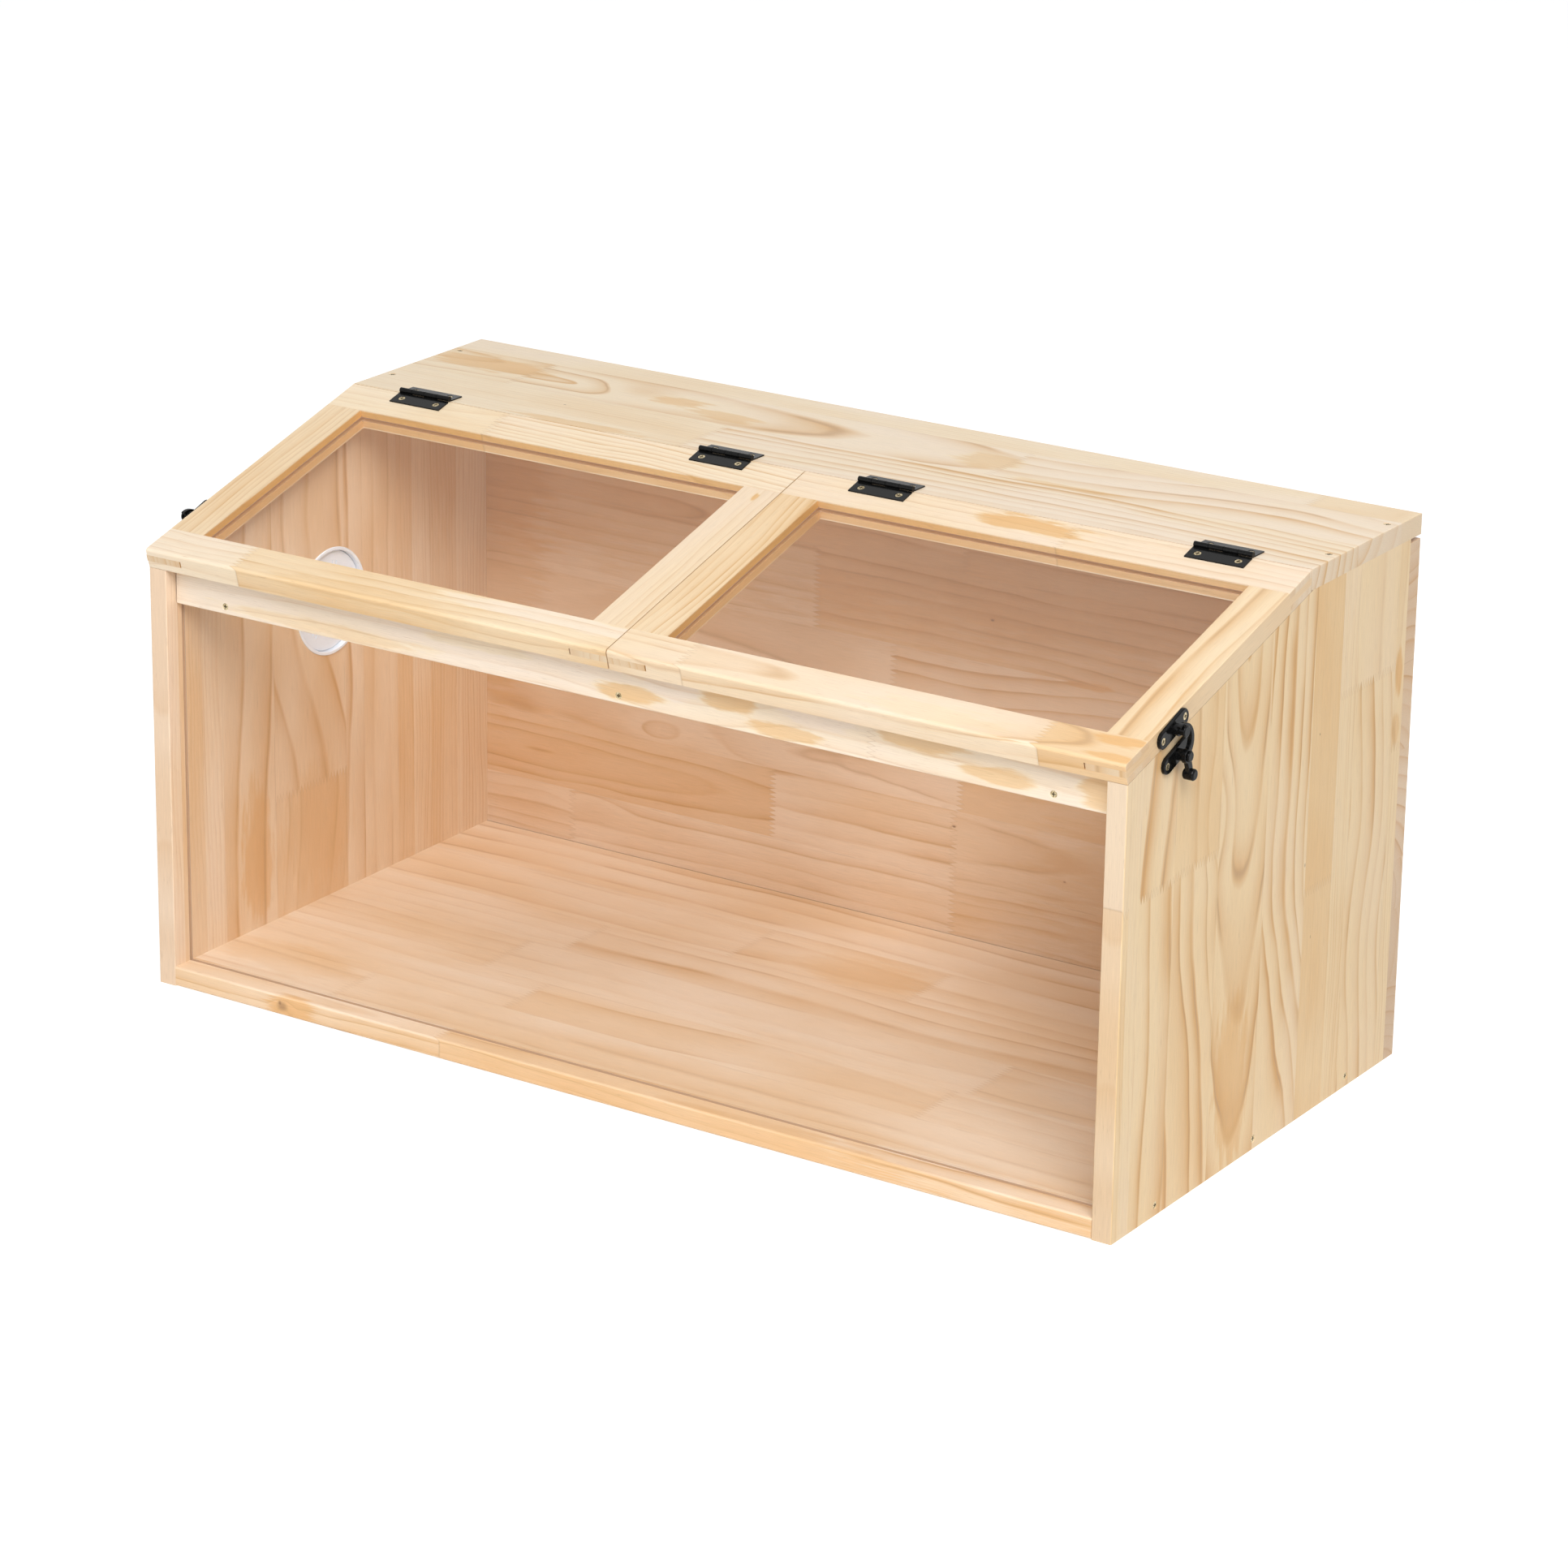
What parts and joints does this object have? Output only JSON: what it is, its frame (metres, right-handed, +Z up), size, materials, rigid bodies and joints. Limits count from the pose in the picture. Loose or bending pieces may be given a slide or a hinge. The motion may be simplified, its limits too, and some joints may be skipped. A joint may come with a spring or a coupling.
{
  "type": "small animal cage",
  "caption": "Pine small animal cage with a sloping front, a clear window, framed clear lids that lift on hinges, a horn latch on each side and a vent port.",
  "frame": {"origin": "centre of the whole object's footprint, on the surface that it stands on", "axes": "+X to the right seen from the window side, +Y from the window to the back, +Z up"},
  "size_m": [0.8254, 0.4036, 0.404],
  "materials": {
    "pine": "planed and clear lacquered, satin",
    "acrylic": "clear, polished",
    "black_metal": "black, semi-gloss",
    "screw": "yellow zinc plated steel",
    "white_plastic": "moulded, semi-gloss"
  },
  "bodies": {
    "case": {"left_side_panel": "pine", "right_side_panel": "pine", "back_panel": "pine", "floor_panel": "pine", "top_panel": "pine", "upper_front_rail": "pine", "front_window": "acrylic", "window_screws": "screw", "floor_screws": "screw", "top_panel_screws": "screw", "back_panel_screws": "screw", "vent_sleeve": "white_plastic", "vent_cap": "white_plastic", "hinge_1_case_leaf": "black_metal", "hinge_1_pin": "black_metal", "hinge_2_case_leaf": "black_metal", "hinge_2_pin": "black_metal", "hinge_3_case_leaf": "black_metal", "hinge_3_pin": "black_metal", "hinge_4_case_leaf": "black_metal", "hinge_4_pin": "black_metal", "case_leaf_screws": "screw", "left_latch_base": "black_metal", "left_latch_rivet": "black_metal", "right_latch_base": "black_metal", "right_latch_rivet": "black_metal", "latch_base_screws": "screw"},
    "left_lid": {"left_lid_front_rail": "pine", "left_lid_rear_rail": "pine", "left_lid_outer_stile": "pine", "left_lid_inner_stile": "pine", "left_lid_pane": "acrylic", "hinge_1_lid_leaf": "black_metal", "hinge_2_lid_leaf": "black_metal", "left_lid_leaf_screws": "screw", "left_latch_catch": "black_metal", "left_latch_catch_screws": "screw"},
    "right_lid": {"right_lid_front_rail": "pine", "right_lid_rear_rail": "pine", "right_lid_outer_stile": "pine", "right_lid_inner_stile": "pine", "right_lid_pane": "acrylic", "hinge_3_lid_leaf": "black_metal", "hinge_4_lid_leaf": "black_metal", "right_lid_leaf_screws": "screw", "right_latch_catch": "black_metal", "right_latch_catch_screws": "screw"},
    "left_latch_hook": {"left_latch_hook": "black_metal"},
    "right_latch_hook": {"right_latch_hook": "black_metal"}
  },
  "joints": [
    {"name": "left_lid_hinge", "type": "hinge", "parent": "case", "child": "left_lid", "pos_m": [-0.2, 0.04176, 0.402], "axis": [-1, 0, 0], "range_deg": [0, 195]},
    {"name": "right_lid_hinge", "type": "hinge", "parent": "case", "child": "right_lid", "pos_m": [0.2, 0.04176, 0.402], "axis": [-1, 0, 0], "range_deg": [0, 195]},
    {"name": "left_latch_pivot", "type": "hinge", "parent": "case", "child": "left_latch_hook", "pos_m": [-0.4, -0.13717, 0.32177], "axis": [-1, 0, 0], "range_deg": [0, 110]},
    {"name": "right_latch_pivot", "type": "hinge", "parent": "case", "child": "right_latch_hook", "pos_m": [0.4, -0.13717, 0.32177], "axis": [-1, 0, 0], "range_deg": [0, 110]}
  ]
}
